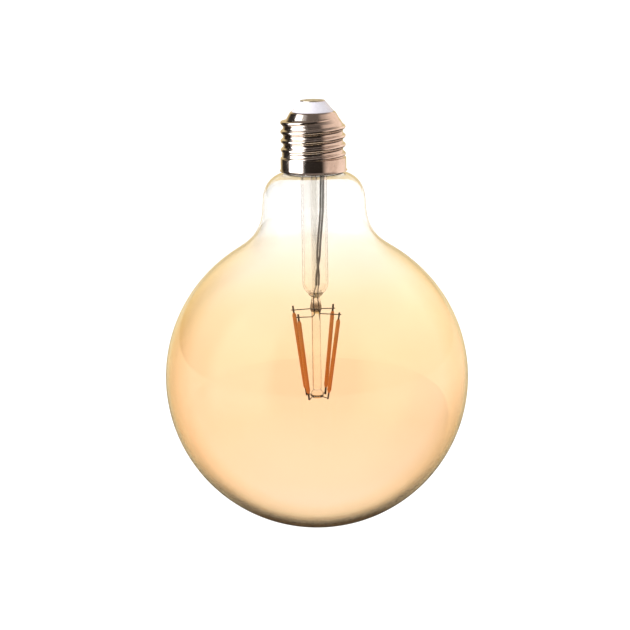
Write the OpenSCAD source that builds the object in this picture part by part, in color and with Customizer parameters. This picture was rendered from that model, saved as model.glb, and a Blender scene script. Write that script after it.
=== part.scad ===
// Globe filament lamp with a screw cap, hanging cap up.
// The origin is the face of the centre contact, and +Z is the lamp's axis towards the lampholder.

/* [Glass envelope] */
// Diameter of the globe
globe_d = 125; // [105:1:140]
// Length from the centre contact to the lowest point of the globe
overall_len = 176.9; // [166:0.1:195]
// Thickness of the blown glass
glass_wall = 0.9; // [0.6:0.1:1.4]
// Diameter of the neck between the globe and the cap
neck_d = 42; // [36:1:48]
// Radius of the hollow curve between the globe and the neck
neck_fillet_r = 18; // [12:1:22]
// Radius of the rounded shoulder under the cap
shoulder_r = 10; // [7:0.5:12]
// Diameter of the narrow glass collar that sits inside the cap
collar_d = 22.8; // [20:0.1:22.8]
// Depth to which the collar stands inside the cap
collar_insert = 7.5; // [5:0.5:9]

/* [Screw cap] */
// Height of the cap, from the contact face to the lower rim
cap_h = 28.5; // [27:0.1:30]
// Diameter over the thread crests
thread_d = 26.4; // [26.1:0.05:26.45]
// Diameter at the thread roots
thread_root_d = 24.2; // [23.96:0.02:24.26]
// Rise of the thread in one turn
thread_pitch = 3.629; // [3.6:0.001:3.66]
// Number of turns of the thread
thread_turns = 4; // [3:1:4]
// Radius of the rounded thread crest
crest_r = 0.8; // [0.7:0.05:0.85]
// Radius of the hollow between two crests
root_r = 1.2; // [1.1:0.05:1.2]
// Thickness of the cap's sheet metal
sheet_t = 0.3; // [0.2:0.05:0.35]
// Diameter of the plain skirt below the thread
skirt_d = 26.6; // [26.5:0.05:26.8]
// Height of the plain skirt, with its flared rim
skirt_h = 5.2; // [4:0.1:5.6]
// Diameter of the flared rim
rim_d = 27.5; // [27:0.1:28.5]
// Height of the flare at the rim
rim_h = 0.6; // [0.4:0.1:1]
// Diameter of the metal's top edge, around the insulator
cap_top_d = 17.6; // [16:0.1:19]
// Distance of the metal's top edge below the contact face
cap_top_drop = 4.6; // [4:0.1:6]
// Diameter of the centre contact
contact_d = 10; // [9:0.1:11]
// Thickness of the centre contact's disc
contact_t = 0.5; // [0.4:0.05:0.8]
// Thickness of the insulator below the metal's top edge
insulator_inset = 2.2; // [1.5:0.1:3]

/* [Stem] */
// Outer diameter of the stem tube
stem_d = 10.6; // [9.6:0.1:12]
// Wall of the stem tube
stem_wall = 0.8; // [0.6:0.1:1]
// Length of the stem, from the collar's end to the seal
stem_len = 60; // [54:0.5:66]
// Diameter of the fused glass seal
seal_d = 4.8; // [4.6:0.1:5.4]
// Length of the fused glass seal
seal_len = 6; // [5:0.25:8]
// Outer diameter of the exhaust tube
exhaust_d = 2.7; // [2.4:0.1:2.9]
// Bore of the exhaust tube
exhaust_bore = 1.3; // [1:0.1:1.6]
// Height of the exhaust tube's sealed tip above the collar's end
exhaust_rise = 3; // [1:0.5:3.5]
// Diameter of the glass pillar that carries the lower wires
pillar_d = 3.6; // [3:0.1:3.8]
// Depth of the pillar's button below the strips' bottom ends
button_drop = 0.1; // [0:0.1:0.5]
// Diameter of the glass button at the pillar's foot
button_d = 5.5; // [5:0.1:6]
// Height of the glass button
button_h = 3; // [2.6:0.1:3.6]

/* [Wires] */
// Diameter of the lead and support wires
wire_d = 0.4; // [0.3:0.05:0.45]
// Outer diameter of the insulating sleeves
sleeve_d = 0.9; // [0.8:0.05:0.95]
// Space between the sleeves' axes
lead_gap = 0.97; // [0.97:0.01:1.1]
// Length of bare wire between a sleeve's end and the seal
bare_len = 5.4; // [4.5:0.1:7]

/* [Filaments] */
// Length of one strip over its metal ends
filament_len = 38; // [37.5:0.25:38.5]
// Length of a metal end outside the coating
tab_out = 3; // [2.5:0.1:4]
// Diameter of the coating
coat_d = 1.7; // [1.4:0.05:2]
// Width of the ceramic strip and of its metal ends
strip_w = 0.8; // [0.6:0.05:0.9]
// Thickness of the ceramic strip and of its metal ends
strip_t = 0.3; // [0.2:0.05:0.4]
// Length of a metal end inside the coating
tab_grip = 1; // [0.5:0.1:2]
// Distance from the axis to a strip's top end
filament_top_r = 12; // [11:0.1:15]
// Distance from the axis to a strip's bottom end
filament_foot_r = 5.5; // [4.4:0.1:6]
// Height of the strips' top ends above the seal's foot
filament_rise = 1; // [0.6:0.1:1.6]
// Angle of the first strip about the axis
filament_angle = 52.8; // [50:0.2:58]

/* [Driver] */
// Diameter of the driver board
board_d = 20; // [18:0.5:21]
// Thickness of the driver board
board_t = 1; // [0.8:0.1:1.2]
// Distance of the board's upper face below the contact face
board_drop = 12.6; // [12.4:0.1:12.8]
// Diameter of the smoothing capacitor
cap_can_d = 4; // [3:0.1:4.2]
// Length of the smoothing capacitor
cap_can_len = 7; // [5:0.5:8]
// Diameter of the filter coil
coil_d = 4; // [3:0.1:4.4]
// Height of the filter coil
coil_h = 3.6; // [3:0.1:4]
// Diameter of the fusible resistor
fuse_d = 2; // [1.6:0.1:2.4]
// Length of the fusible resistor
fuse_len = 5; // [4:0.5:6]
// Side of the rectifier's square package
rectifier_w = 3.8; // [3:0.1:4]
// Height of the chip packages
chip_h = 1.2; // [0.9:0.1:1.3]
// Length of the driver chip
chip_len = 4.9; // [4:0.1:5]
// Width of the driver chip
chip_w = 3.9; // [3:0.1:4]
// Length of the radio module
radio_len = 8; // [6:0.5:9]
// Width of the radio module
radio_w = 5; // [4:0.5:5.5]
// Thickness of the radio module's own board
radio_board_t = 0.6; // [0.5:0.1:0.8]
// Height of the radio module's metal shield
radio_can_h = 1.2; // [0.8:0.1:1.3]

/* [Hidden] */
$fn = 64;
wire_sides = 8;
shoulder_gap = 0.6;      // space between the cap's rim and the top of the glass shoulder
weld_proud = 0.6;        // how far a wire's end stands past the strip it is welded to
weld_r = 0.5;            // the side wire's weld
side_lead_angle = 257;   // where the side wire is welded to the rim
eps = 0.01;
lap = 0.3;               // overlap of outlines that run into each other

globe_r = globe_d / 2;
globe_z = globe_r - overall_len;
neck_r = neck_d / 2;
collar_r = collar_d / 2;
collar_z = collar_insert - cap_h;

// The fillet touches the globe and the neck, and the shoulder touches the neck.
fillet_x = neck_r + neck_fillet_r;
fillet_z = globe_z + sqrt(pow(globe_r + neck_fillet_r, 2) - pow(fillet_x, 2));
shoulder_x = neck_r - shoulder_r;
shoulder_z = -cap_h - shoulder_gap - shoulder_r;

stem_r = stem_d / 2;
stem_bore_r = stem_r - stem_wall;
seal_z = collar_z - stem_len;
seal_foot_z = seal_z - seal_len;
seal_r = seal_d / 2;
seal_neck_r = 0.72 * seal_r;
stem_ball_z = seal_z + stem_r + 0.8;
lip_r = collar_r - glass_wall;
flare_r = lip_r - stem_r;

thread_crest_r = thread_d / 2;
thread_root_r = thread_root_d / 2;
thread_mid_r = (thread_crest_r + thread_root_r) / 2;
skirt_r = skirt_d / 2;
skirt_top_z = skirt_h - cap_h;
thread_foot_z = skirt_top_z - 0.3;
rim_r = rim_d / 2;
cap_top_r = cap_top_d / 2;
cap_top_z = -cap_top_drop;
thread_top_z = thread_foot_z + thread_turns * thread_pitch;
bore_r = thread_root_r - sheet_t;
skirt_bore_r = skirt_r - sheet_t;
contact_r = contact_d / 2;
insulator_foot_z = cap_top_z - insulator_inset;
cone_foot = [thread_mid_r - 2.1, thread_top_z + 1.8];   // outside of the cone that closes the cap
cone_top = [cap_top_r + 0.5, cap_top_z - 0.45];
bore_foot = cone_foot - [sheet_t, sheet_t];
bore_top = [cap_top_r - sheet_t, cone_top.y - sheet_t];
insulator_foot_r = lookup(insulator_foot_z, [[bore_foot.y, bore_foot.x], [bore_top.y, bore_top.x]]) - eps;
thread_sink = 3;         // how far the thread's last half turn sinks into the shoulder
rivet_r = 1.5;
rivet_bore_r = 0.7;
wire_r = wire_d / 2;
sleeve_r = sleeve_d / 2;
sleeve_foot_z = seal_z + bare_len;

strip_top_z = seal_foot_z + filament_rise;
lean = asin((filament_top_r - filament_foot_r) / filament_len);
strip_foot_z = strip_top_z - filament_len * cos(lean);
button_foot_z = strip_foot_z - button_drop;
pillar_foot_z = button_foot_z + button_h;
pillar_len = seal_foot_z - pillar_foot_z;
coat_len = filament_len - 2 * tab_out;
coat_taper = 1.1;
coat_end_r = 0.6 * coat_d / 2;
back_wire_rise = 1;      // height of the back pair's wire in the seal, above the seal's foot
back_weld_drop = 0.75;   // depth of that wire's welds below the seal's foot
left_weld_drop = 0.4;    // depth of the front left weld below the seal's foot
foot_wire_rise = 0.7;    // height of the lower wires above the button's foot

board_top_z = -board_drop;
board_foot_z = board_top_z - board_t;
lead_start = [5.5, 4.2];

STRIPS = ["back_right", "back_left", "front_left", "front_right"];

// Points along an arc about (x, y), from angle a to angle b.
function arc(x, y, r, a, b, n) =
    [for (i = [0 : n]) let (t = a + (b - a) * i / n) [x + r * cos(t), y + r * sin(t)]];

function unit(v) = v / norm(v);

// Direction of a path at each of its points, halfway between the stretches that meet there.
function headings(p) = [
    for (i = [0 : len(p) - 1])
        unit((i > 0 ? unit(p[i] - p[i - 1]) : [0, 0, 0])
             + (i < len(p) - 1 ? unit(p[i + 1] - p[i]) : [0, 0, 0]))
];

// Side vectors carried along a path, so that a swept tube doesn't twist.
function sides(t, i, v) = i == len(t)
    ? []
    : let (s = unit(v - (v * t[i]) * t[i])) concat([s], sides(t, i + 1, s));

// Rings of points around a path, from its point a to its point b.
function rings(p, r, a, b) =
    let (t = headings(p), s = sides(t, 0, abs(t[0].z) > 0.7 ? [1, 0.2, 0] : [0, 0.2, 1]))
    [for (i = [a : b], k = [0 : wire_sides - 1])
        let (w = 360 * k / wire_sides) p[i] + r * (cos(w) * s[i] + sin(w) * cross(t[i], s[i]))];

// Triangles between n rings that start at point first, facing out, or in when flipped.
function skin(n, first, flip) = [
    for (i = [0 : n - 2], k = [0 : wire_sides - 1])
        let (a = first + i * wire_sides + k, b = first + i * wire_sides + (k + 1) % wire_sides)
        each flip
            ? [[a, b, b + wire_sides], [a, b + wire_sides, a + wire_sides]]
            : [[a, b + wire_sides, b], [a, a + wire_sides, b + wire_sides]]
];

// A solid wire along a path, from its point a to its point b.
module wire(p, a = 0, b = -1) {
    end = b < 0 ? len(p) - 1 : b;
    last = (end - a) * wire_sides;
    polyhedron(
        rings(p, wire_r, a, end),
        concat(
            skin(end - a + 1, 0, false),
            [[for (k = [0 : wire_sides - 1]) k]],
            [[for (k = [wire_sides - 1 : -1 : 0]) last + k]]
        )
    );
}

// A sleeve on the wire along a path, from the path's point a to its point b.
module sleeve(p, a, b) {
    n = b - a + 1;
    inner = n * wire_sides;
    last = (n - 1) * wire_sides;
    polyhedron(
        concat(rings(p, sleeve_r, a, b), rings(p, wire_r, a, b)),
        concat(
            skin(n, 0, false),
            skin(n, inner, true),
            [for (k = [0 : wire_sides - 1]) let (m = (k + 1) % wire_sides)
                each [[k, m, inner + m], [k, inner + m, inner + k]]],
            [for (k = [0 : wire_sides - 1]) let (m = (k + 1) % wire_sides)
                each [[last + k, inner + last + m, last + m], [last + k, inner + last + k, inner + last + m]]]
        )
    );
}

function strip_angle(i) = filament_angle + 90 * i;

// A point beside strip i: s along it from its foot, out from the axis and across its face.
function by_strip(i, s, out, across) =
    let (r = filament_foot_r + s * sin(lean) + out, a = strip_angle(i))
    [r * cos(a) - across * sin(a), r * sin(a) + across * cos(a), strip_foot_z + s * cos(lean)];

function strip_at(z) = (z - strip_foot_z) / cos(lean);

// The two leads come down side by side, drift to the axis and cross once above the seal.
function pair_x(u) = lookup(u, [[0, 0.75], [10, 1.25], [18, 1.75], [26, 2.6], [33, 3.1], [44, 3.3]]);
function pair_y(u) = lookup(u, [[0, -2.1], [18, -1.9], [31, -0.9], [44, -0.3]]);
function pair_turn(u) = lookup(u, [[3, 180], [12, 0]]);
function lead_at(u, side) = [
    pair_x(u) + side * lead_gap / 2 * cos(pair_turn(u)),
    pair_y(u) + side * lead_gap / 2 * sin(pair_turn(u)),
    sleeve_foot_z + u
];
function sleeve_path(side) = concat(
    [for (u = [0, 3, 4.5, 6, 7.5, 9, 10.5, 12, 18, 31, 44, 50]) lead_at(u, side)],
    [[lead_start.x - 1.2 + side * 0.6, lead_start.y - 2.6 - side * 0.3, board_foot_z - 3.4],
     [lead_start.x + side * 0.9, lead_start.y, board_foot_z - 1]]
);

// The ends of the leads, in their holes in the board.
function lead_top(side) = [[lead_start.x + side * 0.9, lead_start.y, board_top_z + 0.4]];
function seal_path(side) = [
    [side * 0.78, -1.45, seal_z + 1.75],
    [side * 0.7, -1, seal_z + 0.6],
    [side * 0.75, -0.8, seal_z - 0.8],
    side < 0 ? [-0.8, -1.3, seal_foot_z + 1.6] : [1.1, -1, seal_foot_z + 1.2]
];

// A lead leaves the seal beside the pillar, bends outwards and ends on its front strip.
function arm_bend(side) = side < 0
    ? [[-0.5, -2.1, seal_foot_z], [-0.75, -2.15, seal_foot_z - 1], [-1.5, -2.4, seal_foot_z - 1.75]]
    : [[1.42, -1.62, seal_foot_z], [1.55, -1.75, seal_foot_z - 0.3], [2.1, -2.05, seal_foot_z - 0.55]];
function arm_path(side) =
    let (i = side < 0 ? 2 : 3, s = strip_at(seal_foot_z - (side < 0 ? left_weld_drop : 0)),
         across = side * (strip_w / 2 + wire_r))
    concat(arm_bend(side), [by_strip(i, s, 0, across), by_strip(i, s, weld_proud, across)]);
function reversed(p) = [for (i = [len(p) - 1 : -1 : 0]) p[i]];
function lead_path(side) = concat(
    reversed(arm_path(side)),
    reversed(seal_path(side)),
    sleeve_path(-side),
    lead_top(-side)
);
seal_end = len(arm_path(1)) + len(seal_path(1));      // where a lead's sleeve starts along its path
sleeve_end = seal_end + len(sleeve_path(1)) - 1;

top_jumper_path =
    let (z = seal_foot_z + back_wire_rise, s = strip_at(seal_foot_z - back_weld_drop),
         across = strip_w / 2 + wire_r)
    [by_strip(1, s, weld_proud, across), by_strip(1, s, 0, across), [-2, 0.9, z], [-0.6, 0.75, z],
     [0.6, 0.75, z], [2, 0.9, z], by_strip(0, s, 0, -across), by_strip(0, s, weld_proud, -across)];

function foot_jumper_path(side) =
    let (z = button_foot_z + foot_wire_rise, front = side < 0 ? 2 : 3, back = side < 0 ? 1 : 0,
         s = strip_at(z), across = strip_w / 2 + wire_r, r = button_d / 2)
    [by_strip(front, s, weld_proud, -side * across), by_strip(front, s, 0, -side * across),
     [side * 0.75 * r, -0.55 * r, z], [side * 0.4 * r, -0.15 * r, z], [side * 0.4 * r, 0.2 * r, z + 0.2],
     [side * 0.75 * r, 0.6 * r, z + 0.2], by_strip(back, s, 0, side * across),
     by_strip(back, s, weld_proud, side * across)];

// Half outline of the envelope's neck, set in from the outside by w: the hollow curve from the globe,
// the neck, the rounded shoulder and the collar. Each outline laps over the next one.
module neck_half(w) {
    difference() {
        polygon([[0, globe_z], [fillet_x + lap, fillet_z - lap],
                 [fillet_x, fillet_z + lap], [0, fillet_z + lap]]);
        translate([fillet_x, fillet_z])
            circle(neck_fillet_r + w);
    }
    translate([0, fillet_z - lap])
        square([neck_r - w, shoulder_z - fillet_z + 2 * lap]);
    translate([shoulder_x, shoulder_z])
        intersection() {
            circle(shoulder_r - w);
            translate([-lap, -lap])
                square(shoulder_r + lap);
        }
    translate([0, shoulder_z - lap])
        square([shoulder_x, shoulder_r - w + lap]);
    translate([0, shoulder_z - lap])
        square([collar_r - w, collar_z - shoulder_z + lap + (w > 0 ? eps : 0)]);
}

module envelope_half(w) {
    intersection() {
        translate([0, globe_z])
            circle(globe_r - w);
        translate([0, globe_z - globe_d])
            square([globe_d, 2 * globe_d]);
    }
    neck_half(w);
}

module glass_envelope() {
    color([0.98, 0.86, 0.62, 0.4])
        rotate_extrude()
            difference() {
                envelope_half(0);
                envelope_half(glass_wall);
            }
}

// Half outline of the stem, set in from the outside by w: a rounded foot, a tube and a flare up to top_z.
module stem_half(w, top_z) {
    polygon(concat(
        [[0, stem_ball_z], [stem_r - w, stem_ball_z]],
        arc(lip_r, collar_z - flare_r, flare_r + w, 180, 90, 8),
        w > 0 ? [[lip_r, top_z]] : [[collar_r, collar_z], [collar_r, top_z]],
        [[0, top_z]]
    ));
    intersection() {
        translate([0, stem_ball_z])
            circle(stem_r - w);
        translate([0, stem_ball_z - stem_d])
            square([stem_d, stem_d + eps]);
    }
}

module stem_tube() {
    color([0.95, 0.93, 0.88, 0.4])
        difference() {
            rotate_extrude()
                difference() {
                    union() {
                        stem_half(0, collar_z + stem_wall);
                        polygon([[0, seal_z], [seal_neck_r, seal_z], [seal_neck_r + 1.3, seal_z + 1.3],
                                 [seal_neck_r + 1.6, seal_z + 3], [0, seal_z + 3]]);
                    }
                    stem_half(stem_wall, collar_z + stem_wall + 1);
                }
            exhaust_bore_hole();
            lead_holes();
        }
}

// The exhaust bore runs into the stem's solid foot and leaves it at the side.
module exhaust_bore_hole() {
    port_z = stem_ball_z - stem_r + 0.3;
    translate([0, 0, port_z - 0.45])
        cylinder(h = stem_wall + 1, r = 0.45);
    translate([0, 0, port_z])
        rotate([0, 90, 20])
            cylinder(h = stem_r, r = 0.45);
}

module lead_holes() {
    for (side = [-1, 1])
        wire(lead_path(side), 0, seal_end + 1);
}

module exhaust_tube() {
    foot_z = stem_ball_z - stem_bore_r * 0.95;
    tip_z = collar_z + exhaust_rise;
    color([0.95, 0.93, 0.88, 0.4])
        difference() {
            union() {
                translate([0, 0, foot_z])
                    cylinder(h = tip_z - foot_z, r = exhaust_d / 2);
                translate([0, 0, tip_z])
                    cylinder(h = 1.2, r1 = exhaust_d / 2, r2 = 0.5);
            }
            translate([0, 0, foot_z - eps])
                cylinder(h = tip_z - foot_z, r = exhaust_bore / 2);
        }
}

module stem_seal() {
    color([0.75, 0.7, 0.62, 0.6])
        difference() {
            rotate_extrude()
                polygon([[0, seal_z], [seal_neck_r, seal_z], [seal_neck_r + 0.12, seal_z - 0.2 * seal_len],
                         [seal_r - 0.15, seal_z - 0.52 * seal_len], [seal_r, seal_z - 0.72 * seal_len],
                         [seal_r - 0.12, seal_z - 0.9 * seal_len], [seal_r - 0.5, seal_foot_z],
                         [0, seal_foot_z]]);
            wire(top_jumper_path);
            lead_holes();
        }
}

module glass_pillar() {
    color([0.95, 0.9, 0.8, 0.4])
        translate([0, 0, pillar_foot_z])
            cylinder(h = pillar_len, r = pillar_d / 2);
}

module pillar_button() {
    r = button_d / 2;
    color([0.95, 0.9, 0.8, 0.4])
        difference() {
            rotate_extrude()
                polygon(concat(
                    [[0, pillar_foot_z], [pillar_d / 2, pillar_foot_z]],
                    [for (t = [-50 : 20 : 70])
                        [r * (0.62 + 0.38 * cos(t)), pillar_foot_z - button_h * (0.5 + 0.5 * sin(t))]],
                    [[0.6 * r, button_foot_z], [0, button_foot_z]]
                ));
            for (side = [-1, 1])
                wire(foot_jumper_path(side));
        }
}

module lead_wire(side) {
    color("dimgray")
        difference() {
            wire(lead_path(side));
            strip_bar(side < 0 ? 2 : 3);
        }
}

module lead_sleeve(side) {
    color([0.2, 0.18, 0.15])
        sleeve(lead_path(side), seal_end, sleeve_end);
}

module top_jumper() {
    color("dimgray")
        difference() {
            wire(top_jumper_path);
            strip_bar(0);
            strip_bar(1);
        }
}

module foot_jumper(side) {
    color("dimgray")
        difference() {
            wire(foot_jumper_path(side));
            strip_bar(side < 0 ? 2 : 3);
            strip_bar(side < 0 ? 1 : 0);
        }
}

// Puts its children on strip i, with Z along the strip from its foot.
module on_strip(i) {
    rotate([0, 0, strip_angle(i)])
        translate([filament_foot_r, 0, strip_foot_z])
            rotate([0, lean, 0])
                children();
}

module bar(from, to) {
    translate([-strip_t / 2, -strip_w / 2, from])
        cube([strip_t, strip_w, to - from]);
}

// The whole strip with its metal ends, as one bar.
module strip_bar(i) {
    on_strip(i)
        bar(0, filament_len);
}

module filament_coat(i) {
    r = coat_d / 2;
    color([0.8, 0.4, 0.13])
        on_strip(i)
            difference() {
                rotate_extrude()
                    polygon([[0, tab_out], [coat_end_r, tab_out], [r, tab_out + coat_taper],
                             [r, tab_out + coat_len - coat_taper], [coat_end_r, tab_out + coat_len],
                             [0, tab_out + coat_len]]);
                bar(0, filament_len);
            }
}

module filament_strip(i) {
    color("white")
        on_strip(i)
            bar(tab_out + tab_grip, tab_out + coat_len - tab_grip);
}

module filament_tab(i, top) {
    from = top ? tab_out + coat_len - tab_grip : 0;
    color("silver")
        on_strip(i)
            bar(from, from + tab_out + tab_grip);
}

// One half turn of a rounded bead that rises half a pitch, from radius from_r to radius to_r.
module half_turn(from_r, to_r, bead_r) {
    mean_r = (from_r + to_r) / 2;
    translate([(from_r - to_r) / 2, 0, 0])
        rotate([0, asin(thread_pitch / 4 / mean_r), 0])
            rotate_extrude(angle = 180)
                translate([mean_r, 0])
                    circle(bead_r);
}

// A run of half turns, one after another through the given radii, starting on the -X side.
module helix(radii, bead_r, foot_z) {
    for (k = [0 : len(radii) - 2])
        translate([0, 0, foot_z + (k + 0.5) * thread_pitch / 2])
            rotate([0, 0, 180 * (k + 1)])
                half_turn(radii[k], radii[k + 1], bead_r);
}

module cap_shell() {
    crest_x = thread_crest_r - crest_r;
    root_x = thread_root_r + root_r;
    halves = 2 * thread_turns;
    color([0.72, 0.66, 0.6])
        difference() {
            union() {
                difference() {
                    translate([0, 0, skirt_top_z - 0.6])
                        cylinder(h = thread_top_z - skirt_top_z, r = thread_mid_r);
                    helix([for (k = [0 : halves]) root_x + (k == 0 ? 0.5 : 0)],
                          root_r, thread_foot_z + thread_pitch / 2);
                }
                helix(concat([for (k = [0 : halves]) crest_x], [crest_x - thread_sink]),
                      crest_r, thread_foot_z);
                cap_skirt();
                cap_shoulder();
            }
            cap_inside();
        }
}

module cap_skirt() {
    rotate_extrude()
        polygon([[0, -cap_h], [rim_r, -cap_h], [skirt_r, -cap_h + rim_h], [skirt_r, skirt_top_z],
                 [thread_mid_r - 0.2, skirt_top_z + 0.5], [0, skirt_top_z + 0.5]]);
}

// The metal above the thread closes in to the insulator in a rounded cone.
module cap_shoulder() {
    rotate_extrude()
        polygon([[0, thread_top_z - 1.2], [thread_mid_r - 0.3, thread_top_z - 1.2],
                 [thread_mid_r - 1, thread_top_z + 0.2], cone_foot, cone_top,
                 [cap_top_r, cap_top_z], [0, cap_top_z]]);
}

module cap_inside() {
    rotate_extrude()
        polygon([[0, -cap_h - 1], [rim_r - sheet_t, -cap_h - 1], [rim_r - sheet_t, -cap_h],
                 [skirt_bore_r, -cap_h + rim_h], [skirt_bore_r, skirt_top_z - sheet_t],
                 [bore_r, skirt_top_z - sheet_t + 0.5], [bore_r, thread_top_z - 1.2],
                 [thread_mid_r - 1 - sheet_t, thread_top_z + 0.2 - sheet_t],
                 bore_foot, bore_top, [bore_top.x, 1], [0, 1]]);
}

module cap_insulator() {
    color("white")
        rotate_extrude()
            polygon([[rivet_r, -contact_t], [contact_r + 0.15, -contact_t], [bore_top.x, cap_top_z + 0.15],
                     [bore_top.x, bore_top.y - eps], [insulator_foot_r, insulator_foot_z],
                     [rivet_r, insulator_foot_z]]);
}

module centre_contact() {
    color([0.75, 0.72, 0.68])
        rotate_extrude()
            polygon([[rivet_bore_r, -contact_t - 1], [0, -contact_t - 0.2], [0, 0], [0.7 * contact_r, 0],
                     [contact_r, -0.2], [contact_r, -contact_t], [rivet_r, -contact_t],
                     [rivet_r, insulator_foot_z - 0.4], [rivet_bore_r, insulator_foot_z - 0.4]]);
}

module basing_cement() {
    top_z = collar_z - 1;
    color([0.85, 0.83, 0.78])
        difference() {
            rotate_extrude()
                polygon([[collar_r, -cap_h + 0.6], [skirt_bore_r, -cap_h + 0.6],
                         [skirt_bore_r, skirt_top_z - sheet_t - 0.1],
                         [bore_r, skirt_top_z - sheet_t + 0.4], [bore_r, top_z], [collar_r, top_z]]);
            wire(side_lead_path);
        }
}

// The side wire comes down between the collar and the cap, and ends at the rim.
side_lead_path =
    let (c = cos(side_lead_angle), s = sin(side_lead_angle), start_r = board_d / 2 - 0.7,
         gap_r = (collar_r + bore_r) / 2, end_r = skirt_bore_r - wire_r)
    [for (p = [[start_r, board_foot_z], [start_r, board_foot_z - 1.2], [gap_r - 1, collar_z + 2],
               [gap_r, collar_z + 0.8], [gap_r, skirt_top_z], [end_r - 0.3, skirt_top_z - 1.5],
               [end_r, -cap_h - 0.2]])
        [p[0] * c, p[0] * s, p[1]]];

module side_lead() {
    color("silver")
        wire(side_lead_path);
}

module side_weld() {
    color("silver")
        difference() {
            rotate([0, 0, side_lead_angle])
                translate([skirt_bore_r + 0.3, 0, -cap_h])
                    sphere(weld_r);
            translate([-rim_r, -rim_r, -cap_h])
                cube([2 * rim_r, 2 * rim_r, 1]);
            wire(side_lead_path);
        }
}

module centre_lead() {
    color("silver")
        translate([0, 0, board_top_z])
            cylinder(h = -contact_t - 1 - board_top_z - 0.2, r = rivet_bore_r - 0.2);
}

module driver_board() {
    color([0.1, 0.4, 0.2])
        difference() {
            translate([0, 0, board_foot_z])
                cylinder(h = board_t, r = board_d / 2);
            for (side = [-1, 1])
                translate([lead_start.x + side * 0.9, lead_start.y, board_foot_z - 1])
                    cylinder(h = board_t + 2, r = wire_r + 0.1);
        }
}

module on_board(x, y, a) {
    translate([x, y, board_top_z])
        rotate([0, 0, a])
            children();
}

module under_board(x, y, a, w, d, h) {
    translate([x, y, board_foot_z - h])
        rotate([0, 0, a])
            translate([-w / 2, -d / 2])
                cube([w, d, h]);
}

module smoothing_capacitor() {
    color([0.15, 0.2, 0.4])
        on_board(-4.4, 0, 90)
            translate([-cap_can_len / 2, 0, cap_can_d / 2])
                rotate([0, 90, 0])
                    cylinder(h = cap_can_len, r = cap_can_d / 2);
}

module filter_coil() {
    color([0.45, 0.25, 0.12])
        on_board(4, -4, 0) {
            cylinder(h = 0.5, r = coil_d / 2);
            cylinder(h = coil_h, r = coil_d / 2 - 0.5);
            translate([0, 0, coil_h - 0.5])
                cylinder(h = 0.5, r = coil_d / 2);
        }
}

module fusible_resistor() {
    color([0.35, 0.6, 0.45])
        on_board(3.2, 1.6, 0)
            translate([-fuse_len / 2, 0, fuse_d / 2])
                rotate([0, 90, 0])
                    cylinder(h = fuse_len, r = fuse_d / 2);
}

module bridge_rectifier() {
    color([0.12, 0.12, 0.12])
        under_board(-5.5, 3.8, 0, rectifier_w, rectifier_w, chip_h);
}

module driver_chip() {
    color([0.12, 0.12, 0.12])
        under_board(0, 6.4, 0, chip_len, chip_w, chip_h);
}

module radio_board() {
    color([0.1, 0.3, 0.5])
        under_board(-1, -5.6, 0, radio_len, radio_w, radio_board_t);
}

module radio_shield() {
    color("silver")
        translate([0, 0, -radio_board_t])
            under_board(-1, -5.6, 0, radio_len - 2.5, radio_w - 0.8, radio_can_h);
}

glass_envelope();
stem_tube();
exhaust_tube();
stem_seal();
glass_pillar();
pillar_button();
lead_wire(-1);  // lead_wire_left
lead_wire(1);  // lead_wire_right
lead_sleeve(-1);  // lead_sleeve_left
lead_sleeve(1);  // lead_sleeve_right
top_jumper();
foot_jumper(-1);  // foot_jumper_left
foot_jumper(1);  // foot_jumper_right
for (i = [0 : len(STRIPS) - 1]) {
    filament_coat(i);
    filament_strip(i);
    filament_tab(i, true);
    filament_tab(i, false);
}
cap_shell();
cap_insulator();
centre_contact();
basing_cement();
centre_lead();
side_lead();
side_weld();
driver_board();
fusible_resistor();
bridge_rectifier();
smoothing_capacitor();
filter_coil();
driver_chip();
radio_board();
radio_shield();
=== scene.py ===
import math

import bmesh
import bpy
from mathutils import Matrix, Vector, noise


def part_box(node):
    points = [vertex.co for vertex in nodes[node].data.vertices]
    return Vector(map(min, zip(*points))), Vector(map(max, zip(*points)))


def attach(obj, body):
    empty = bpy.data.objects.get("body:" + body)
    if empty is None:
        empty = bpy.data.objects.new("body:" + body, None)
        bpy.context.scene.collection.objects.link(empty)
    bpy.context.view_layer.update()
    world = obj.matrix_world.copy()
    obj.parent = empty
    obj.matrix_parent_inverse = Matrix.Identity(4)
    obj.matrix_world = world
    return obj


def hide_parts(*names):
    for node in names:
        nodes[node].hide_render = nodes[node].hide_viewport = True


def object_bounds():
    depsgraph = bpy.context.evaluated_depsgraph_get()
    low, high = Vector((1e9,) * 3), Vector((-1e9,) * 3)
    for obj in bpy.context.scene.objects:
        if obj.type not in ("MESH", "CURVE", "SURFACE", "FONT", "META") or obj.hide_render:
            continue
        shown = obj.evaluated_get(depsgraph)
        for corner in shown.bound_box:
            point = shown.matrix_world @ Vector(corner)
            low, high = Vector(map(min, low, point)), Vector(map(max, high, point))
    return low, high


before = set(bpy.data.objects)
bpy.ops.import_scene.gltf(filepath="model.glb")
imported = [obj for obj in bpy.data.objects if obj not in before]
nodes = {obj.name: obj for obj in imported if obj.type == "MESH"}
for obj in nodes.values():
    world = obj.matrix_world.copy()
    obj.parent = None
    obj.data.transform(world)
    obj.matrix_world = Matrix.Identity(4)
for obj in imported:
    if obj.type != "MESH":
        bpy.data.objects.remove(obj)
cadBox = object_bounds()
print("lamp loaded:", len(nodes), "pieces")


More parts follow.
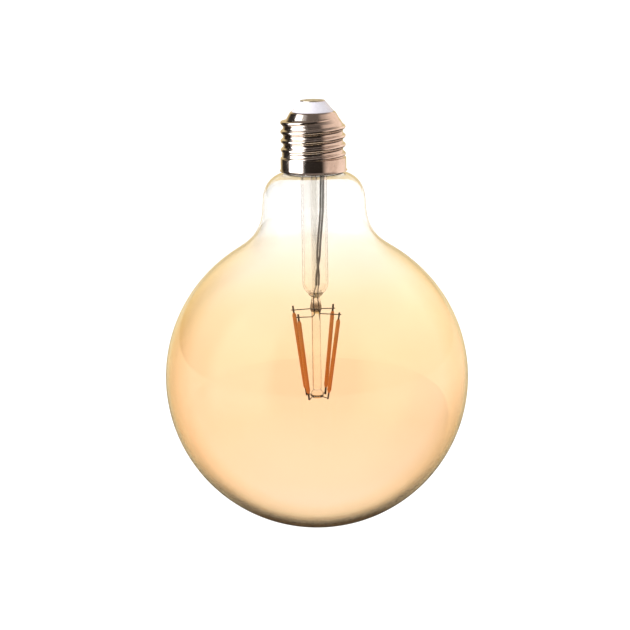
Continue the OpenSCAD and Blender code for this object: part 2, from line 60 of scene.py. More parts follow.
# One output of a node. Sums on it add Math nodes, so a mask is written as 1 - mask.
class Value:
    def __init__(self, finish, socket):
        self.finish = finish
        self.socket = socket

    def maths(self, operation, first, second):
        return self.finish.make("Math", {"operation": operation}, {0: first, 1: second})

    def __add__(self, other):
        return self.maths("ADD", self, other)

    def __radd__(self, other):
        return self.maths("ADD", other, self)

    def __sub__(self, other):
        return self.maths("SUBTRACT", self, other)

    def __rsub__(self, other):
        return self.maths("SUBTRACT", other, self)

    def __mul__(self, other):
        return self.maths("MULTIPLY", self, other)

    def __rmul__(self, other):
        return self.maths("MULTIPLY", other, self)

    def __truediv__(self, other):
        return self.maths("DIVIDE", self, other)


# One material or world. Its nodes are all added through make.
class Finish:
    def __init__(self, owner):
        owner.use_nodes = True
        self.owner = owner
        self.tree = owner.node_tree
        self.tree.nodes.clear()

    # Settings go on the node first, then each socket gets its value or its link.
    def make(self, kind, settings, sockets, output=0):
        node = self.tree.nodes.new("ShaderNode" + kind)
        for name, value in settings.items():
            if name == "stops":
                self.fillRamp(node.color_ramp, value)
            else:
                setattr(node, name, value)
        for name, value in sockets.items():
            self.feed(node.inputs[name], value)
        return Value(self, node.outputs[output]) if len(node.outputs) else node

    def feed(self, socket, value):
        if isinstance(value, Value):
            self.tree.links.new(value.socket, socket)
        elif isinstance(value, tuple) and len(value) == 3 and socket.type == "RGBA":
            socket.default_value = (*value, 1)
        else:
            socket.default_value = value

    def fillRamp(self, ramp, stops):
        while len(ramp.elements) < len(stops):
            ramp.elements.new(1)
        for element, (at, colour) in zip(ramp.elements, stops):
            element.position = at
            element.color = (*colour, 1) if isinstance(colour, tuple) else (colour, colour, colour, 1)

    # Place on the lamp, in millimetres from the centre contact's face.
    def place(self):
        spot = self.make("TexCoord", {}, {}, "Object")
        return self.make("VectorMath", {"operation": "SCALE"}, {0: spot, "Scale": 1000})

    def along(self, vector, axis):
        return self.make("SeparateXYZ", {}, {0: vector}, axis)

    def stretch(self, vector, by):
        return self.make("VectorMath", {"operation": "MULTIPLY"}, {0: vector, 1: by})

    def noise(self, vector, size, detail=2, rough=0.5):
        return self.make(
            "TexNoise", {}, {"Vector": vector, "Scale": 1 / size, "Detail": detail, "Roughness": rough}
        )

    # A value taken from one range to another and held there.
    def fit(self, value, low, high, newLow=0, newHigh=1):
        ends = {"From Min": low, "From Max": high, "To Min": newLow, "To Max": newHigh}
        return self.make("MapRange", {}, {"Value": value, **ends})

    def ramp(self, value, stops):
        return self.make("ValToRGB", {"stops": stops}, {0: value})

    def blend(self, share, first, second, how="MIX"):
        return self.make("Mix", {"data_type": "RGBA", "blend_type": how}, {0: share, 6: first, 7: second}, 2)

    def bump(self, height, strength, depth):
        return self.make("Bump", {}, {"Height": height, "Strength": strength, "Distance": depth})

    def surface(self, sockets):
        shader = self.make("BsdfPrincipled", {}, sockets)
        self.out = self.make("OutputMaterial", {}, {"Surface": shader})
        return self.owner


def newFinish(name):
    return Finish(bpy.data.materials.new(name))


def dress(material, *names):
    for name in names:
        nodes[name].data.materials.clear()
        nodes[name].data.materials.append(material)


strips = ["back_right", "back_left", "front_left", "front_right"]


# Turns an outline about the lamp's axis into a closed surface. The outside of a piece is listed upwards.
def turned(name, points, steps):
    mesh = bpy.data.meshes.new(name)
    form = bmesh.new()
    rings = []
    for radius, z in points:
        count = 1 if radius == 0 else steps
        rings.append([form.verts.new((radius * math.cos(2 * math.pi * k / steps),
                                      radius * math.sin(2 * math.pi * k / steps), z)) for k in range(count)])
    for upper, lower in zip(rings, rings[1:]):
        for k in range(steps):
            a, b = upper[k % len(upper)], upper[(k + 1) % len(upper)]
            c, d = lower[(k + 1) % len(lower)], lower[k % len(lower)]
            form.faces.new([v for i, v in enumerate((a, b, c, d)) if v not in (a, b, c, d)[:i]])
    for face in form.faces:
        face.smooth = True
    form.to_mesh(mesh)
    form.free()
    piece = bpy.data.objects.new(name, mesh)
    bpy.context.scene.collection.objects.link(piece)
    return piece

# The globe: one blown glass wall, tinted amber on the globe and left clear at the neck.
globe = {
    "clear": (1.0, 1.0, 0.995),
    "tintStart": -54.0,
    "tintEnd": -94.0,
    "upper": (0.985, 0.840, 0.618),
    "middle": (0.975, 0.778, 0.588),
    "foot": (0.955, 0.855, 0.73),
    # painted edge shade: deeper amber where the wall is seen edge-on
    "rim": (0.80, 0.58, 0.22),
    # painted dark reflection: near black on the edge of the globe's foot
    "paintedDarkReflection": (0.030, 0.014, 0.004),
    "ior": 1.5,
    "edge": (0.80, 0.66, 0.40),
    "edgeDensity": 40.0,
    "ripple": 0.00006,
    # radii of the neck, of the curves on either side of it and of the collar in the cap, in metres
    "neck": 0.021,
    "fillet": 0.018,
    "shoulder": 0.010,
    "collar": 0.0114,
    "shoulderTop": -0.0291,
    "wall": 0.0009,
    "steps": 128,
    "softening": 14,
}


def arc(x, z, radius, start, end, count):
    angles = [start + (end - start) * k / count for k in range(count + 1)]
    return [(x + radius * math.cos(a), z + radius * math.sin(a)) for a in angles]


# Outline of the blown glass from its lowest point to the collar, set in by the given depth.
def globeOutline(inset):
    low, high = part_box("glass_envelope")
    radius = (high.x - low.x) / 2
    middle = low.z + radius
    curveX = globe["neck"] + globe["fillet"]
    curveZ = middle + math.sqrt((radius + globe["fillet"]) ** 2 - curveX ** 2)
    meet = math.atan2(curveZ - middle, curveX)
    shoulderX = globe["neck"] - globe["shoulder"]
    shoulderZ = globe["shoulderTop"] - globe["shoulder"]
    points = arc(0, middle, radius - inset, -math.pi / 2, meet, 120)
    points += arc(curveX, curveZ, globe["fillet"] + inset, meet + math.pi, math.pi, 16)[1:]
    points += [(globe["neck"] - inset, curveZ + (shoulderZ - curveZ) * k / 4) for k in range(1, 5)]
    points += arc(shoulderX, shoulderZ, globe["shoulder"] - inset, 0, math.pi / 2, 14)[1:]
    # blown glass has no sudden change of curve where one part of it runs into the next
    for _ in range(globe["softening"]):
        points[1:-1] = [tuple((a[i] + 2 * b[i] + c[i]) / 4 for i in (0, 1))
                        for a, b, c in zip(points, points[1:], points[2:])]
    points[0] = (0.0, points[0][1])
    collar = globe["collar"] - inset
    return points + [(collar, points[-1][1]), (collar, (points[-1][1] + high.z) / 2), (collar, high.z)]


def makeGlobe():
    piece = turned("blownGlobe", globeOutline(0) + globeOutline(globe["wall"])[::-1], globe["steps"])
    f = newFinish("amberGlass")
    place = f.place()
    high = f.along(place, "Z")
    cloud = f.noise(f.stretch(place, (1, 1, 0.5)), 26, 2)
    uneven = high + (cloud - 0.5) * 7
    amber = f.ramp(
        f.fit(uneven, -176, -84),
        [(0.0, globe["foot"]), (0.35, globe["middle"]), (0.75, globe["middle"]), (1.0, globe["upper"])],
    )
    # the amber coat thins out towards the neck
    coat = f.ramp(f.fit(uneven, globe["tintStart"], globe["tintEnd"]),
                  [(0.0, 0.0), (0.2, 0.27), (0.45, 0.62), (0.68, 0.82), (1.0, 1.0)])
    colour = f.blend(coat, globe["clear"], amber)
    # seen edge-on, the wall is painted a deeper amber, as painted edge shade, and the foot's edge is painted near
    # black, as a painted dark reflection
    edge = f.make("LayerWeight", {}, {"Blend": 0.5}, "Facing")
    colour = f.blend(f.fit(edge, 0.45, 0.9) * coat, colour, globe["rim"])
    # painted dark reflection of the ground along the foot's edge
    darkReflectionMask = f.fit(edge, 0.62, 0.80) * f.fit(high, -140, -165)
    colour = f.blend(darkReflectionMask, colour, globe["paintedDarkReflection"])
    ripple = f.noise(f.stretch(place, (1, 1, 0.6)), 21, 1)
    material = f.surface({
        "Base Color": colour,
        "Roughness": 0.0,
        "IOR": globe["ior"],
        "Transmission Weight": 1.0,
        "Normal": f.bump(ripple, 0.25, globe["ripple"]),
    })
    # thicker glass at the edge of the view takes more light away
    soak = f.make("VolumeAbsorption", {}, {"Color": globe["edge"], "Density": globe["edgeDensity"]})
    f.tree.links.new(soak.socket, f.out.inputs["Volume"])
    piece.data.materials.append(material)
    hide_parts("glass_envelope")
    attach(piece, "root")
    return piece


blownGlobe = makeGlobe()

# Clear glass of the stem, its exhaust tube, seal, pillar and button.
stem = {
    "tint": (0.995, 0.99, 0.975),
    # painted edge shade: dark brown where the glass is seen edge-on
    "rim": (0.10, 0.055, 0.025),
    "ior": 1.52,
    "edge": (0.72, 0.58, 0.42),
    "density": 70.0,
    "streak": 0.000006,
}


def makeClearGlass(name, tint, density, *names):
    f = newFinish(name)
    place = f.place()
    streak = f.noise(f.stretch(place, (1, 1, 0.08)), 1.4, 2)
    cloud = f.noise(place, 5, 2)
    edge = f.make("LayerWeight", {}, {"Blend": 0.5}, "Facing")
    colour = f.blend(f.fit(cloud, 0.35, 0.7), tint, tuple(0.975 * c for c in tint))
    # the glass is painted dark brown where it is seen edge-on, as painted edge shade
    material = f.surface({
        "Base Color": f.blend(f.fit(edge, 0.60, 0.88), colour, stem["rim"]),
        "Roughness": 0.0,
        "IOR": stem["ior"],
        "Transmission Weight": 1.0,
        "Normal": f.bump(streak, 0.3, stem["streak"]),
    })
    soak = f.make("VolumeAbsorption", {}, {"Color": stem["edge"], "Density": density})
    f.tree.links.new(soak.socket, f.out.inputs["Volume"])
    dress(material, *names)


makeClearGlass("stemGlass", stem["tint"], stem["density"], "stem_tube", "exhaust_tube")

# The seal, the pillar and its button are melted together, so they are drawn as one turned piece of glass.
pillar = {
    "steps": 64,
    # each outline is (share of the greatest radius, share of the height from the top)
    "seal": [(0.0, 0.0), (0.72, 0.0), (0.76, 0.2), (0.88, 0.42), (0.97, 0.6), (1.0, 0.74), (0.97, 0.88),
             (0.88, 0.97)],
    "neck": 0.08,
    "button": [(0.70, 0.02), (0.86, 0.10), (0.95, 0.24), (0.93, 0.36), (0.90, 0.44), (0.97, 0.58),
               (0.98, 0.72), (0.90, 0.86), (0.72, 0.96), (0.50, 1.0), (0.0, 1.0)],
    "lump": 0.00012,
    "lumpSize": 0.0016,
    "tint": (0.985, 0.955, 0.91),
    # painted edge shade: dark brown where the glass is seen edge-on
    "rim": (0.17, 0.085, 0.04),
    "shade": (0.20, 0.15, 0.11),
    "ior": 1.5,
}


def outline(box, shares):
    low, high = box
    radius = (high.x - low.x) / 2
    return [(r * radius, high.z - share * (high.z - low.z)) for r, share in shares]


def pillarOutline():
    low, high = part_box("glass_pillar")
    radius = (high.x - low.x) / 2
    neck = pillar["neck"] * (high.z - low.z) / 4
    shaft = [(radius, high.z - neck), (radius, (low.z + high.z) / 2), (radius, low.z + neck)]
    seal = outline(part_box("stem_seal"), pillar["seal"])
    return seal + shaft + outline(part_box("pillar_button"), pillar["button"])


# Melted glass is never quite round, so the button's surface is pushed in and out a little.
def melt(piece, below):
    for vertex in piece.data.vertices:
        depth = min(1, max(0, (below - vertex.co.z) / 0.001))
        push = noise.noise(vertex.co / pillar["lumpSize"]) * pillar["lump"] * depth
        out = Vector((vertex.co.x, vertex.co.y, 0))
        if out.length > 0:
            vertex.co += out.normalized() * push


def makePillar():
    piece = turned("stemFoot", pillarOutline()[::-1], pillar["steps"])
    melt(piece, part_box("pillar_button")[1].z)
    f = newFinish("pillarGlass")
    place = f.place()
    high = f.along(place, "Z")
    sealLow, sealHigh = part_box("stem_seal")
    foot, head = sealLow.z * 1000, sealHigh.z * 1000
    edge = f.make("LayerWeight", {}, {"Blend": 0.5}, "Facing")
    streak = f.noise(f.stretch(place, (1, 1, 0.1)), 0.9, 2)
    # wires fused into the lower half of the seal darken it
    fused = f.fit(high, foot - 0.2, foot + 0.4) * f.fit(high, head - 1.6, head - 3.4)
    colour = f.blend(f.fit(streak, 0.4, 0.7), pillar["tint"], tuple(0.97 * c for c in pillar["tint"]))
    colour = f.blend(fused, colour, pillar["shade"])
    # the glass is painted dark brown where it is seen edge-on, as painted edge shade
    colour = f.blend(f.fit(edge, 0.46, 0.78), colour, pillar["rim"])
    piece.data.materials.append(f.surface({
        "Base Color": colour,
        "Roughness": 0.0,
        "IOR": pillar["ior"],
        "Transmission Weight": 1.0,
        "Normal": f.bump(streak, 0.3, stem["streak"]),
    }))
    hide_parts("stem_seal", "glass_pillar", "pillar_button")
    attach(piece, "root")
    return piece


# studio light reaches the filaments through the glass
for piece in [blownGlobe, nodes["stem_tube"], nodes["exhaust_tube"], makePillar()]:
    piece.visible_shadow = False
    piece.visible_diffuse = False
print("glass done")

# Nickel-plated sheet metal of the cap.
cap = {
    "bright": (0.78, 0.71, 0.66),
    "dull": (0.60, 0.52, 0.46),
    "stain": (0.22, 0.17, 0.14),
    "rough": (0.13, 0.20),
    "grain": 0.000006,
}


def makeCap():
    f = newFinish("nickelPlate")
    place = f.place()
    high = f.along(place, "Z")
    brushed = f.noise(f.stretch(place, (0.3, 0.3, 5)), 1.2, 2)
    grain = f.noise(place, 0.22, 2)
    cloud = f.noise(place, 7, 3)
    wear = f.fit(cloud, 0.42, 0.68)
    out = f.make("VectorMath", {"operation": "LENGTH"}, {0: f.stretch(place, (1, 1, 0))}, "Value")
    rootShadeMask = f.fit(out, 12.9, 12.15)  # the thread's roots are painted darker, as painted shade
    specks = f.fit(f.noise(place, 1.1, 2), 0.70, 0.78)
    colour = f.blend(wear, cap["bright"], cap["dull"])
    # painted shade: the thread's roots blended towards the dull colour
    colour = f.blend(rootShadeMask * 0.35, colour, cap["dull"])
    colour = f.blend(specks * 0.3, colour, cap["stain"])
    scuff = f.fit(f.noise(f.stretch(place, (1, 1, 0.3)), 0.7, 3), 0.6, 0.75)
    low, top = cap["rough"]
    material = f.surface({
        "Base Color": colour,
        "Metallic": 1.0 - specks * 0.3,
        "Roughness": low + (top - low) * wear + 0.06 * scuff,
        "Normal": f.bump(brushed * 0.8 + grain * 0.2, 0.2, cap["grain"]),
    })
    dress(material, "cap_shell")


makeCap()

# White glass-like insulator between the shell and the centre contact.
insulator = {"white": (0.50, 0.485, 0.53), "shade": (0.42, 0.40, 0.45), "pit": 0.00005}


def makeInsulator():
    f = newFinish("insulatorGlass")
    place = f.place()
    cloud = f.noise(place, 4, 3)
    pits = f.noise(place, 0.45, 2)
    material = f.surface({
        "Base Color": f.blend(f.fit(cloud, 0.4, 0.75), insulator["white"], insulator["shade"]),
        "Roughness": 0.22 + 0.15 * f.fit(pits, 0.4, 0.7),
        "Coat Weight": 0.3,
        "Normal": f.bump(pits, 0.4, insulator["pit"]),
    })
    dress(material, "cap_insulator")


makeInsulator()

# Tinned metals: the contact, the solder and the small welds.
tin = {"bright": (0.70, 0.69, 0.68), "dark": (0.30, 0.28, 0.26), "lump": 0.00012}


def makeTin(name, size, bright, dark, *names):
    f = newFinish(name)
    place = f.place()
    cloud = f.noise(place, size, 3)
    ring = f.noise(place, size / 5, 2)
    material = f.surface({
        "Base Color": f.blend(f.fit(cloud, 0.38, 0.7), bright, dark),
        "Metallic": 1.0,
        "Roughness": 0.24 + 0.2 * f.fit(ring, 0.35, 0.7),
        "Normal": f.bump(cloud * 0.7 + ring * 0.3, 0.4, tin["lump"]),
    })
    if names:
        dress(material, *names)
    return material


makeTin("tinnedContact", 2.2, tin["bright"], tin["dark"], "centre_contact")
makeTin("solder", 0.5, (0.58, 0.57, 0.55), (0.25, 0.23, 0.21), "side_weld")

# Wires, and the strips' bare metal ends.
wires = {"grey": (0.07, 0.052, 0.042), "brown": (0.035, 0.022, 0.015), "nickel": (0.46, 0.43, 0.40)}


def makeWire(name, light, dark, rough, *names):
    f = newFinish(name)
    place = f.place()
    drawn = f.noise(f.stretch(place, (3, 3, 0.4)), 0.5, 2)
    patch = f.noise(place, 2.5, 2)
    material = f.surface({
        "Base Color": f.blend(f.fit(patch, 0.4, 0.65), light, dark),
        "Metallic": 0.85,
        "Roughness": rough + 0.2 * f.fit(drawn, 0.4, 0.7),
        "Normal": f.bump(drawn, 0.3, 0.00003),
    })
    dress(material, *names)
    return material


makeWire("leadWire", wires["grey"], wires["brown"], 0.35,
         "lead_wire_left", "lead_wire_right", "top_jumper", "foot_jumper_left", "foot_jumper_right")
makeWire("coatedWire", wires["nickel"], wires["grey"], 0.3, "centre_lead", "side_lead")
makeWire("stripEnds", wires["grey"], wires["brown"], 0.3,
         *[f"filament_tab_{end}_{s}" for s in strips for end in ("top", "foot")])

# Woven sleeves on the leads, painted dark at the top, lighter in the middle and browner at the foot, as painted
# light and shade along their height.
sleeve = {
    "top": (0.008, 0.007, 0.006),
    "middle": (0.070, 0.055, 0.038),
    "foot": (0.036, 0.020, 0.009),
    "weave": 0.00002,
}


def makeSleeve():
    f = newFinish("wovenSleeve")
    place = f.place()
    high = f.along(place, "Z")
    turn = f.make("Math", {"operation": "ARCTAN2"}, {0: f.along(place, "Y") + 2, 1: f.along(place, "X") - 1})
    over = f.make("Math", {"operation": "SINE"}, {0: high * 9 + turn * 4})
    under = f.make("Math", {"operation": "SINE"}, {0: high * 9 - turn * 4})
    weave = over * under * 0.5 + 0.5
    worn = f.noise(place, 1.8, 3)
    # painted light and shade: the colour changes with height, dark at the top and lighter in the middle
    colour = f.ramp(f.fit(high + (worn - 0.5) * 6, -76, -24),
                    [(0.0, sleeve["foot"]), (0.3, sleeve["foot"]), (0.62, sleeve["middle"]), (0.86, sleeve["top"])])
    colour = f.blend(weave * 0.35, colour, (0.02, 0.016, 0.013))
    material = f.surface({
        "Base Color": colour,
        "Roughness": 0.75 + 0.2 * weave,
        "Specular IOR Level": 0.1,
        "Normal": f.bump(weave * 0.8 + worn * 0.2, 0.6, sleeve["weave"]),
    })
    dress(material, "lead_sleeve_left", "lead_sleeve_right")


makeSleeve()

# Filament strips: phosphor silicone over a row of small chips on a ceramic strip.
filament = {
    "upper": (0.37, 0.112, 0.006),
    "lower": (0.40, 0.105, 0.001),
    "chip": (0.24, 0.055, 0.001),
    "chipPitch": 1.15,
    "speck": 0.00004,
}


def makeFilaments():
    f = newFinish("phosphorCoat")
    place = f.place()
    high = f.along(place, "Z")
    fine = f.noise(place, 0.18, 2)
    cloud = f.noise(place, 1.6, 2)
    chips = f.make("Math", {"operation": "SINE"}, {0: high * (2 * math.pi / filament["chipPitch"])})
    chips = f.fit(chips, 0.1, 0.9)
    colour = f.blend(f.fit(high + (cloud - 0.5) * 4, -97, -105), filament["upper"], filament["lower"])
    colour = f.blend(chips * 0.3, colour, filament["chip"])
    material = f.surface({
        "Base Color": colour,
        "Roughness": 0.42 + 0.2 * f.fit(fine, 0.4, 0.7),
        "Coat Weight": 0.15,
        "Normal": f.bump(fine * 0.5 + cloud * 0.3 + chips * 0.2, 0.5, filament["speck"]),
    })
    dress(material, *[f"filament_coat_{s}" for s in strips])

    f = newFinish("ceramicStrip")
    place = f.place()
    grain = f.noise(place, 0.15, 2)
    material = f.surface({
        "Base Color": f.blend(f.fit(grain, 0.35, 0.7), (0.82, 0.80, 0.74), (0.66, 0.62, 0.54)),
        "Roughness": 0.5 + 0.2 * grain,
        "Normal": f.bump(grain, 0.3, 0.00002),
    })
    dress(material, *[f"filament_strip_{s}" for s in strips])


makeFilaments()

# Small nuggets of metal where the wires are spot-welded to the strips' ends.
nugget = {"radius": 0.00034, "flat": 0.7, "lump": 0.00006, "reach": 0.0006, "inwards": 0.3}
welds = [
    ("top_jumper", "top_back_left"), ("top_jumper", "top_back_right"),
    ("lead_wire_left", "top_front_left"), ("lead_wire_right", "top_front_right"),
    ("foot_jumper_left", "foot_front_left"), ("foot_jumper_left", "foot_back_left"),
    ("foot_jumper_right", "foot_front_right"), ("foot_jumper_right", "foot_back_right"),
]


# Middle of the stretch of wire that lies beside a strip's end.
def weldSpot(wire, end):
    low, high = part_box(end)
    reach = Vector((nugget["reach"],) * 3)
    low, high = low - reach, high + reach
    near = [v.co for v in nodes[wire].data.vertices if all(low[i] <= v.co[i] <= high[i] for i in range(3))]
    whole = [v.co for v in nodes[end].data.vertices]
    wireSpot = sum(near, Vector()) / len(near)
    tabSpot = sum(whole, Vector()) / len(whole)
    return wireSpot + (Vector((tabSpot.x, tabSpot.y, wireSpot.z)) - wireSpot) * nugget["inwards"]


def makeWelds():
    metal = makeTin("weldMetal", 0.4, (0.20, 0.17, 0.15), (0.09, 0.07, 0.055))
    for wire, end in welds:
        spot = weldSpot(wire, "filament_tab_" + end)
        mesh = bpy.data.meshes.new("weld_" + end)
        form = bmesh.new()
        bmesh.ops.create_icosphere(form, subdivisions=3, radius=nugget["radius"])
        for vertex in form.verts:
            vertex.co *= 1 + noise.noise(vertex.co * 2500 + spot * 900) * nugget["lump"] / nugget["radius"]
            vertex.co.z *= nugget["flat"]
        for face in form.faces:
            face.smooth = True
        form.transform(Matrix.Translation(spot))
        form.to_mesh(mesh)
        form.free()
        mesh.materials.append(metal)
        piece = bpy.data.objects.new("weld_" + end, mesh)
        bpy.context.scene.collection.objects.link(piece)
        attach(piece, "root")


makeWelds()
print("metal and filaments done")

# Parts inside the cap.
inside = {
    "cement": (0.72, 0.69, 0.62),
    "board": (0.025, 0.16, 0.07),
    "copper": (0.05, 0.26, 0.11),
    "pads": (0.62, 0.60, 0.56),
    "sleeve": [(0.012, 0.02, 0.07), (0.03, 0.05, 0.13)],
    "band": (0.55, 0.56, 0.60),
    # painted shade between the coil's turns
    "turnGapShade": (0.09, 0.03, 0.012),
    "enamel": [(0.55, 0.22, 0.07), (0.38, 0.13, 0.04)],
    "lacquer": [(0.16, 0.34, 0.24), (0.12, 0.27, 0.19)],
    "ring": (0.30, 0.10, 0.03),
}


def makeInside():
    f = newFinish("basingCement")
    place = f.place()
    lumps = f.noise(place, 1.3, 4, 0.65)
    pores = f.noise(place, 0.3, 2)
    material = f.surface({
        "Base Color": f.blend(f.fit(lumps, 0.35, 0.7), inside["cement"], (0.52, 0.48, 0.41)),
        "Roughness": 0.85,
        "Normal": f.bump(lumps * 0.6 + pores * 0.4, 0.8, 0.0002),
    })
    dress(material, "basing_cement")

    # copper tracks show as paler paths under the green lacquer
    f = newFinish("greenBoard")
    place = f.place()
    cells = f.make("TexVoronoi", {"feature": "DISTANCE_TO_EDGE"}, {"Vector": place, "Scale": 0.45})
    tracks = f.fit(cells, 0.16, 0.10)
    pads = f.fit(f.make("TexVoronoi", {}, {"Vector": place, "Scale": 0.45}), 0.16, 0.12)
    weave = f.noise(f.stretch(place, (4, 0.6, 1)), 0.4, 2)
    colour = f.blend(tracks * 0.8, inside["board"], inside["copper"])
    colour = f.blend(pads, colour, inside["pads"])
    material = f.surface({
        "Base Color": colour,
        "Metallic": pads * 0.9,
        "Roughness": 0.34 + 0.1 * weave,
        "Coat Weight": 0.4,
        "Normal": f.bump(tracks * 0.6 + weave * 0.4, 0.4, 0.00004),
    })
    dress(material, "driver_board", "radio_board")

    f = newFinish("mouldedPackage")
    place = f.place()
    grain = f.noise(place, 0.12, 2)
    edge = f.noise(place, 2, 2)
    material = f.surface({
        "Base Color": f.blend(f.fit(edge, 0.3, 0.8), (0.018, 0.018, 0.019), (0.045, 0.044, 0.043)),
        "Roughness": 0.48 + 0.2 * grain,
        "Normal": f.bump(grain, 0.4, 0.00003),
    })
    dress(material, "driver_chip", "bridge_rectifier")

    # printed sleeve of the capacitor, with its pale polarity band
    f = newFinish("capacitorSleeve")
    place = f.place()
    band = f.fit(f.along(place, "X"), -5.6, -5.75)
    grain = f.noise(place, 0.6, 3)
    material = f.surface({
        "Base Color": f.blend(band, f.blend(grain * 0.4, *inside["sleeve"]), inside["band"]),
        "Roughness": 0.28 + 0.12 * grain,
        "Coat Weight": 0.5,
        "Normal": f.bump(grain, 0.2, 0.00003),
    })
    dress(material, "smoothing_capacitor")

    f = newFinish("enamelledCoil")
    place = f.place()
    rings = f.make("Math", {"operation": "SINE"}, {0: f.along(place, "Z") * (2 * math.pi / 0.32)}) * 0.5 + 0.5
    patch = f.noise(place, 0.8, 2)
    turnColour = f.blend(patch, *inside["enamel"])
    # the gaps between the turns are painted dark, as painted shade
    material = f.surface({
        "Base Color": f.blend(f.fit(rings, 0.2, 0.8), inside["turnGapShade"], turnColour),
        "Metallic": 0.7,
        "Roughness": 0.28 + 0.15 * patch,
        "Normal": f.bump(rings, 0.8, 0.0001),
    })
    dress(material, "filter_coil")

    # lacquered resistor with plain colour bands across its length
    f = newFinish("resistorLacquer")
    place = f.place()
    across = f.make("Math", {"operation": "FRACT"}, {0: f.along(place, "X") * 0.9})
    band = f.fit(across, 0.34, 0.30) * f.fit(f.noise(place, 3, 1), 0.2, 0.3)
    grain = f.noise(place, 0.3, 2)
    material = f.surface({
        "Base Color": f.blend(band, f.blend(grain, *inside["lacquer"]), inside["ring"]),
        "Roughness": 0.35 + 0.15 * grain,
        "Coat Weight": 0.3,
        "Normal": f.bump(grain, 0.3, 0.00003),
    })
    dress(material, "fusible_resistor")
    makeTin("shieldPlate", 1.6, (0.66, 0.65, 0.62), (0.48, 0.46, 0.43), "radio_shield")


makeInside()
print("inside of the cap done")

# Floor: plain and pale, level with the lowest point of the globe.
floorLook = {"pale": (0.90, 0.90, 0.90), "side": 12.0}


def makeFloor():
    side = floorLook["side"] / 2
    low = cadBox[0].z - 0.0002
    mesh = bpy.data.meshes.new("floor")
    corners = [(-side, -side, low), (side, -side, low), (side, side, low), (-side, side, low)]
    mesh.from_pydata(corners, [], [(0, 1, 2, 3)])
    floor = bpy.data.objects.new("floor", mesh)
    bpy.context.scene.collection.objects.link(floor)
    f = newFinish("paleFloor")
    grain = f.noise(f.place(), 40, 2)
    mesh.materials.append(f.surface({
        "Base Color": f.blend(grain * 0.2, floorLook["pale"], (0.88, 0.88, 0.88)),
        "Roughness": 0.9,
        "Specular IOR Level": 0.1,
    }))
    floor.visible_glossy = False


makeFloor()

# Studio: a white surround, with a darker room for reflections so that metal and glass edges read.
studio = {
    "white": 1.28,
    "soft": 1.42,
    "lean": 0.5,
    "back": (0.42, 0.33, 0.18),
    "box": (0.42, 0.41, 0.40),
    "dark": (0.010, 0.007, 0.005),
    "warm": (0.48, 0.36, 0.295),
    "warmEnd": (0.62, 0.48, 0.40),
    "ceiling": (0.10, 0.08, 0.07),
    "ground": (0.012, 0.008, 0.006),
    "keyPower": 3.0,
    "fillPower": 1.5,
    "capTurn": -66.0,
    "capReach": 0.7,
    "capSize": (0.75, 1.1),
    "capPower": 9.0,
}


# What metal and glass mirror, going round from behind the lamp by its left side, its front and its right.
def roomStops():
    back, box, dark = studio["back"], studio["box"], studio["dark"]
    warm, warmEnd = studio["warm"], studio["warmEnd"]
    return [(0.0, back), (0.07, back), (0.12, dark), (0.24, dark), (0.275, box), (0.385, box), (0.412, dark),
            (0.585, dark), (0.64, warm), (0.90, warmEnd), (0.94, back), (1.0, back)]


def makeStudio():
    world = bpy.data.worlds.new("studio")
    bpy.context.scene.world = world
    f = Finish(world)
    way = f.make("TexCoord", {}, {}, "Generated")
    right, high = f.along(way, "X"), f.along(way, "Z")
    turn = f.make("Math", {"operation": "ARCTAN2"}, {0: right, 1: f.along(way, "Y") * -1})
    room = f.ramp(turn / (2 * math.pi) + 0.5, roomStops())
    room = f.blend(f.fit(high, 0.55, 0.85), room, studio["ceiling"])
    room = f.blend(f.fit(high, -0.15, -0.4), room, studio["ground"])
    glossy = f.make("LightPath", {}, {}, "Is Glossy Ray")
    diffuse = f.make("LightPath", {}, {}, "Is Diffuse Ray")
    white = f.make("Background", {}, {"Color": (1, 1, 1), "Strength": studio["white"]})
    soft = f.make("Background", {}, {"Color": (1, 1, 1), "Strength": studio["soft"] - right * studio["lean"]})
    mirrored = f.make("Background", {}, {"Color": room, "Strength": 2.0})
    shown = f.make("MixShader", {}, {0: diffuse, 1: white, 2: soft})
    f.make("OutputWorld", {}, {"Surface": f.make("MixShader", {}, {0: glossy, 1: shown, 2: mirrored})})


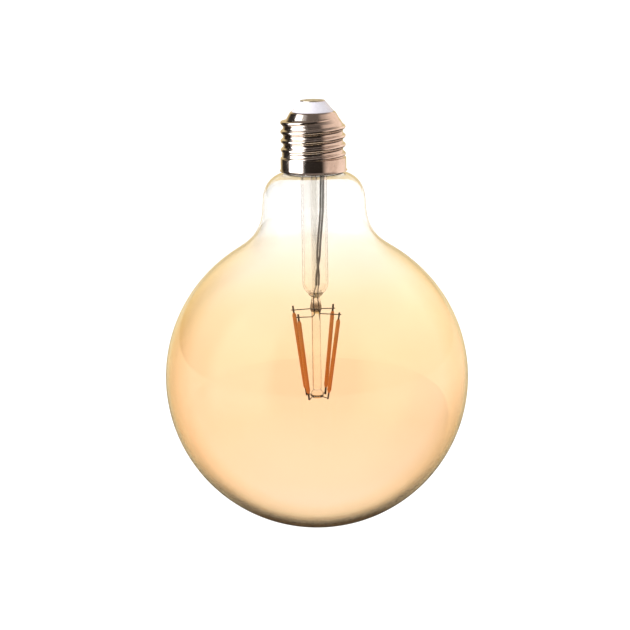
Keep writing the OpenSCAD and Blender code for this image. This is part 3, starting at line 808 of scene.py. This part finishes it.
def addLamp(name, at, size, power, colour):
    light = bpy.data.lights.new(name, "AREA")
    light.shape = "RECTANGLE"
    light.size, light.size_y = size
    light.energy = power
    light.color = colour
    lamp = bpy.data.objects.new(name, light)
    lamp.location = at
    aim = Vector((0, 0, -0.05)) - lamp.location
    lamp.rotation_euler = aim.to_track_quat("-Z", "Y").to_euler()
    lamp.visible_glossy = False
    lamp.visible_transmission = False
    bpy.context.scene.collection.objects.link(lamp)
    return lamp


# A soft light for the metal of the cap only, mirrored in it as one bright band.
def addCapLight():
    only = bpy.data.collections.new("capMetal")
    for name in ("cap_shell", "cap_insulator", "centre_contact", "side_weld"):
        only.objects.link(nodes[name])
    turn = math.radians(studio["capTurn"])
    reach = studio["capReach"]
    lamp = addLamp("softboxCap", (reach * math.sin(turn), -reach * math.cos(turn), 0.05),
                   studio["capSize"], studio["capPower"], (1.0, 0.98, 0.96))
    lamp.visible_glossy = True
    lamp.light_linking.receiver_collection = only


makeStudio()
addLamp("softboxLeft", (-0.75, -0.42, 0.12), (0.5, 0.9), studio["keyPower"], (1.0, 0.99, 0.97))
addLamp("softboxRight", (0.8, -0.35, 0.35), (0.5, 0.7), studio["fillPower"], (1.0, 0.95, 0.90))
addCapLight()

# Camera: a little above the lamp's middle, looking down at it.
view = {"aim": (-0.0004, 0, -0.0885), "distance": 0.8, "elevation": 12.5, "roll": -0.95, "lens": 111.2}


def makeCamera():
    data = bpy.data.cameras.new("camera")
    data.lens = view["lens"]
    camera = bpy.data.objects.new("camera", data)
    rise = math.radians(view["elevation"])
    back = Vector((0, -math.cos(rise), math.sin(rise)))
    camera.location = Vector(view["aim"]) + back * view["distance"]
    turn = (-back).to_track_quat("-Z", "Y").to_matrix().to_4x4()
    turn = turn @ Matrix.Rotation(math.radians(view["roll"]), 4, "Z")
    camera.rotation_euler = turn.to_euler()
    bpy.context.scene.collection.objects.link(camera)
    bpy.context.scene.camera = camera
    bpy.context.scene.view_settings.view_transform = "Standard"


makeCamera()
print("studio and camera done")
